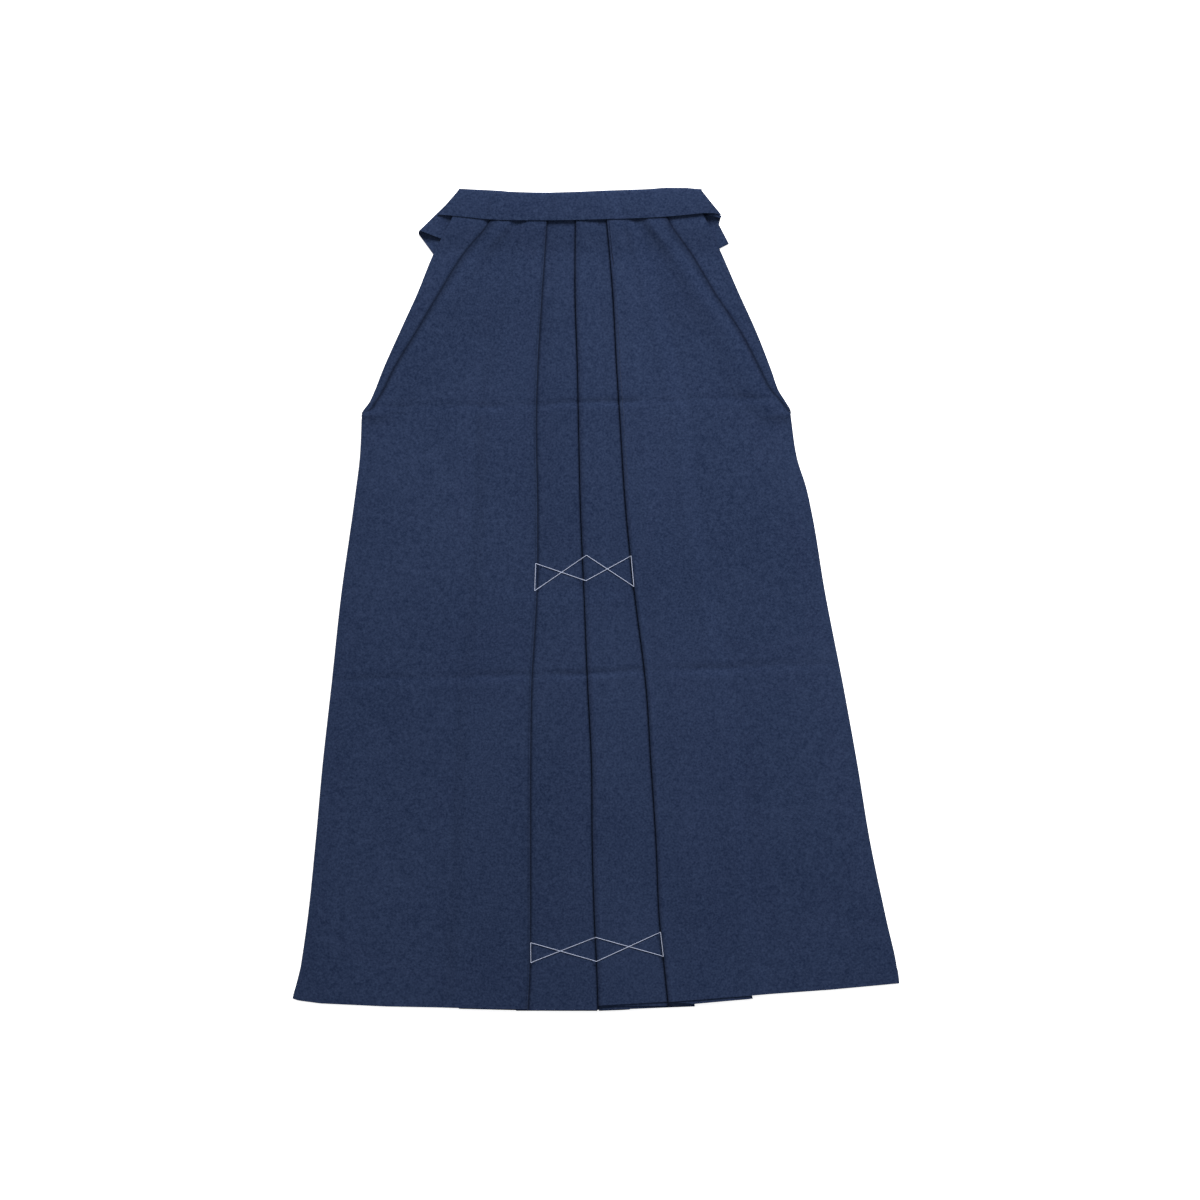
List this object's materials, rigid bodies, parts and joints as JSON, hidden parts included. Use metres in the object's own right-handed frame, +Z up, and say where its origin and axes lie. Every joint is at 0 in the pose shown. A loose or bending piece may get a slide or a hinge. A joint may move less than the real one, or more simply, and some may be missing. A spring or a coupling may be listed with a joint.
{
  "type": "hakama trousers",
  "caption": "Navy pleated hakama trousers laid flat, front up, with folded side pleats, waistband ends folded behind and basted pleat edges.",
  "frame": {"origin": "on the surface it lies on, under the middle of the laid garment", "axes": "+X to the wearer's left, +Y from the hem to the waist, +Z up from the surface, the front side up"},
  "size_m": [0.7008, 0.9498, 0.014],
  "materials": {
    "hakama_cloth": "matte plain weave",
    "basting_thread": "matte cotton thread"
  },
  "bodies": {
    "root": {"front_right": "hakama_cloth", "front_left": "hakama_cloth", "side_pleat_right": "hakama_cloth", "side_pleat_left": "hakama_cloth", "back_right": "hakama_cloth", "back_left": "hakama_cloth", "gusset_right": "hakama_cloth", "gusset_left": "hakama_cloth", "waistband_front": "hakama_cloth", "waistband_back": "hakama_cloth", "front_tie_right": "hakama_cloth", "front_tie_left": "hakama_cloth", "back_tie_right": "hakama_cloth", "back_tie_left": "hakama_cloth"}
  },
  "joints": []
}
